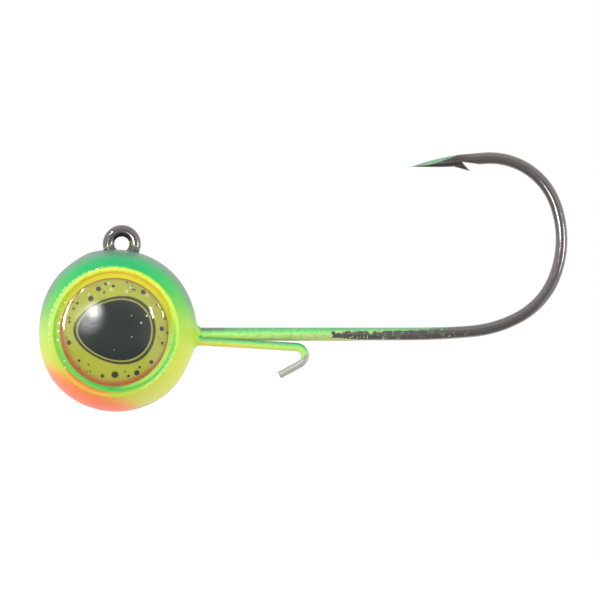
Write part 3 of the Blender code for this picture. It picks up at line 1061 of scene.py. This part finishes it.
def convex(name, corners, material):
    bm = bmesh.new()
    for corner in corners:
        bm.verts.new(Vector(corner) * MM)
    bmesh.ops.convex_hull(bm, input=bm.verts)
    mesh = bpy.data.meshes.new(name)
    bm.to_mesh(mesh)
    bm.free()
    mesh.materials.append(material)
    obj = bpy.data.objects.new(name, mesh)
    bpy.context.scene.collection.objects.link(obj)
    return obj


def barb_shapes():
    """The blade that slices into the underside of the point, and the thorn that it raises."""
    blade = []
    for y in (-1.5, 1.5):
        lift = -CUT_TILT * y
        blade += [
            (BARB_ROOT[0], y, BARB_ROOT[1] + lift),
            (CUT_END[0], y, CUT_END[1] + lift),
            (CUT_END[0] + 0.6, y, CUT_END[1] - 0.5),
            (BARB_ROOT[0] + 0.9, y, BARB_ROOT[1] - 1.6),
            (BARB_ROOT[0], y, BARB_ROOT[1] - 1.6),
        ]
    thorn = [(BARB_FRONT[0], 0.0, BARB_FRONT[1] + 0.05), (BARB_TIP[0], 0.0, BARB_TIP[1])]
    for side in (-1.0, 1.0):
        thorn += [
            (BARB_ROOT[0] + 0.02, 0.42 * side, BARB_ROOT[1]),
            (BARB_ROOT[0] + 0.30, 0.30 * side, BARB_ROOT[1] - 0.42),
            (BARB_FRONT[0] + 0.7, 0.16 * side, BARB_FRONT[1] - 0.08),
            (BARB_FRONT[0] + 0.2, 0.30 * side, BARB_ROOT[1] - 0.1),
        ]
    return ("DIFFERENCE", blade), ("UNION", thorn)


def cut_barb(hook, material):
    for operation, corners in barb_shapes():
        helper = convex("helper", corners, material)
        modifier = hook.modifiers.new("barb", "BOOLEAN")
        modifier.operation = operation
        modifier.solver = "EXACT"
        modifier.object = helper
        graph = bpy.context.evaluated_depsgraph_get()
        mesh = bpy.data.meshes.new_from_object(hook.evaluated_get(graph))
        hook.modifiers.clear()
        hook.data = mesh
        bpy.data.objects.remove(helper)
    hook.data.shade_smooth()
    hook.data.set_sharp_from_angle(angle=math.radians(28))


def make_keeper(material):
    moves = [
        KEEPER_ANCHOR_LENGTH,
        (KEEPER_ANCHOR_RADIUS, -90.0 - KEEPER_SLOPE),
        KEEPER_RUN,
        (KEEPER_FOLD_RADIUS, -KEEPER_FOLD_SWEEP),
        KEEPER_TIP_LENGTH,
    ]
    points, headings = trace(KEEPER_START, 90.0, moves, 4.0, 0.25)
    coat = (points[:, 0] > 4.0) * smooth_step(points[:, 1], -12.9, -12.4)
    radii = np.repeat((KEEPER_RADIUS + PAINT * coat)[:, None], KEEPER_SIDES, axis=1)
    # The cut end has a narrow chamfer, so one more ring goes in just before it.
    back = np.array([math.cos(headings[-1]), math.sin(headings[-1])]) * CHAMFER_LENGTH
    points = np.vstack([points[:-1], points[-1] - back, points[-1]])
    headings = np.append(headings, headings[-1])
    radii = np.vstack([radii, radii[-1:] - CHAMFER_DEPTH])
    keeper = tube("keeper_look", wire_rings(points, headings, radii), wire_ends(points), material)
    aside = Matrix.Translation((0.0, KEEPER_SIDE * MM, 0.0))
    keeper.data.transform(aside @ Matrix.Rotation(math.radians(KEEPER_YAW), 4, "Z"))
    keeper.data.set_sharp_from_angle(angle=math.radians(40))
    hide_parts("bait_keeper")
    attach(keeper, "root")
    return keeper


# ---- stage, light and camera

VIEW_CENTRE = Vector((19.8, 0.0, -6.22))
VIEW_WIDTH = 66.67
CAMERA_DISTANCE = 900.0
SENSOR = 36.0

ROOM_LIGHT = 2.0
FRONT_LIGHT = 1.1
BELOW_LIGHT = 0.9
THROUGH_LIGHT = 0.68
LIGHT_DISTANCE = 600.0
FLOOR_HALF_WIDTH = 420.0
FLOOR_DROP = 30.0


def make_camera():
    data = bpy.data.cameras.new("camera")
    data.sensor_width = SENSOR
    data.lens = SENSOR * CAMERA_DISTANCE / VIEW_WIDTH
    data.clip_start = 0.01
    data.clip_end = 20.0
    camera = bpy.data.objects.new("camera", data)
    camera.location = (VIEW_CENTRE - Vector((0.0, CAMERA_DISTANCE, 0.0))) * MM
    camera.rotation_euler = (math.radians(90.0), 0.0, 0.0)
    bpy.context.scene.collection.objects.link(camera)
    bpy.context.scene.camera = camera


def area_light(name, target, direction, size_mm, radiance, soft=None, only=None):
    """A light that faces a target from a direction, with a given brightness of its face.

    soft is the share of the half width over which the brightness fades out, from the middle.
    only is a list of the pieces that it lights.
    """
    data = bpy.data.lights.new(name, "AREA")
    data.shape = "RECTANGLE"
    data.size, data.size_y = size_mm[0] * MM, size_mm[1] * MM
    data.energy = radiance * math.pi * data.size * data.size_y
    if soft:
        g = Graph(data)
        geometry = g.nodes.new("ShaderNodeNewGeometry")
        across = g.vector("SUBTRACT", geometry.outputs["Parametric"], (0.5, 0.5, 0.0))
        reach = g.vector("LENGTH", across)
        fade = g.ramp(reach, 0.5 * (1.0 - soft), 0.5, 1.0, 0.0)
        g.put(g.nodes["Emission"].inputs["Strength"], g.multiply(fade, fade))
    light = bpy.data.objects.new(name, data)
    away = Vector(direction).normalized()
    light.location = (Vector(target) + away * LIGHT_DISTANCE) * MM
    light.rotation_euler = away.to_track_quat("Z", "Y").to_euler()
    light.visible_camera = False
    bpy.context.scene.collection.objects.link(light)
    if only:
        lit = bpy.data.collections.new(name)
        for piece in only:
            lit.objects.link(piece)
        light.light_linking.receiver_collection = lit
    return light


def make_world():
    """A plain white room for the camera, and a shaded one for what the jig reflects and is lit by.

    The shaded one is brightest above and at the sides, and dimmer in front, behind and below.
    """
    world = bpy.data.worlds.new("studio")
    world.use_nodes = True
    bpy.context.scene.world = world
    g = Graph(world)
    x, y, z = g.split(g.coordinates.outputs["Generated"])
    front = g.ramp(g.math("ABSOLUTE", y), 0.62, 0.97)
    below = g.multiply(g.ramp(z, -0.08, -0.42), g.ramp(x, 0.72, 0.5))
    below = g.multiply(below, g.ramp(y, 0.35, 0.1))
    room = g.blend(front, ROOM_LIGHT, FRONT_LIGHT)
    room = g.blend(below, room, BELOW_LIGHT)
    path = g.nodes.new("ShaderNodeLightPath")
    bounces = g.add(path.outputs["Diffuse Depth"], path.outputs["Glossy Depth"])
    straight = g.subtract(1.0, g.math("GREATER_THAN", bounces, 0.5))
    room = g.blend(g.multiply(path.outputs["Is Transmission Ray"], straight), room, THROUGH_LIGHT)
    background = g.nodes["Background"]
    g.put(background.inputs["Strength"], g.blend(path.outputs["Is Camera Ray"], room, 1.0))
    background.inputs["Color"].default_value = (1.0, 1.0, 1.0, 1.0)


def make_floor():
    g = Finish("pale_floor")
    g.set(base_color=g.mix(g.noise(0.02), (0.93, 0.93, 0.93), (0.96, 0.96, 0.96)), roughness=0.9)
    half, z = FLOOR_HALF_WIDTH, HEAD_LOW.z - FLOOR_DROP
    corners = [(-half, -half, z), (half, -half, z), (half, half, z), (-half, half, z)]
    floor = add_mesh("floor", corners, [(0, 1, 2, 3)], g.material)
    floor.visible_glossy = False
    floor.visible_diffuse = False
    floor.visible_transmission = False


def make_lights(head, hook, keeper, domes):
    eye = (EYE_X, 0.0, EYE_Z)
    tie = (0.0, 0.0, 0.0)
    bend = (46.0, 0.0, -1.0)
    lit_by_key = [head, keeper, *domes]
    area_light("key", eye, (-0.396, -0.825, 0.396), (360.0, 360.0), 22.0, soft=1.0, only=lit_by_key)
    area_light("key_right", eye, (-0.411, 0.813, 0.411), (400.0, 400.0), 20.0, soft=1.0, only=domes)
    area_light("key_glow", eye, (-0.499, -0.828, 0.258), (600.0, 600.0), 7.0, soft=0.85, only=domes)
    area_light("right_arc", eye, (0.67, -0.66, 0.35), (30.0, 130.0), 26.0, only=domes)
    area_light("far_arc", eye, (0.8, -0.47, 0.37), (14.0, 170.0), 26.0, only=domes)
    for name, degrees, length in (("rim_top", 128.5, 70.0), ("rim_side", 156.0, 520.0)):
        outwards = 0.9 * math.cos(math.radians(degrees)), 0.9 * math.sin(math.radians(degrees))
        direction = (outwards[0], -0.436, outwards[1])
        area_light(name, eye, direction, (50.0, length), 34.0, soft=0.3, only=domes)
    tie_key = area_light("tie_key", tie, (-0.46, -0.763, 0.451), (30.0, 30.0), 0.3, only=[hook])
    tie_key.data.spread = math.radians(4.0)
    area_light("bend_left", bend, (-0.38, -0.92, -0.09), (330.0, 170.0), 50.0, soft=0.7, only=[hook])
    area_light("bend_right", bend, (0.83, -0.5, -0.04), (160.0, 380.0), 34.0, soft=0.7, only=[hook])


def main():
    make_camera()
    make_world()
    make_floor()
    head = make_head(head_paint())
    hook = make_hook(hook_metal())
    keeper = make_keeper(keeper_metal())
    domes = make_eyes()
    make_lights(head, hook, keeper, domes)
    bpy.context.scene.view_settings.view_transform = "Standard"


main()
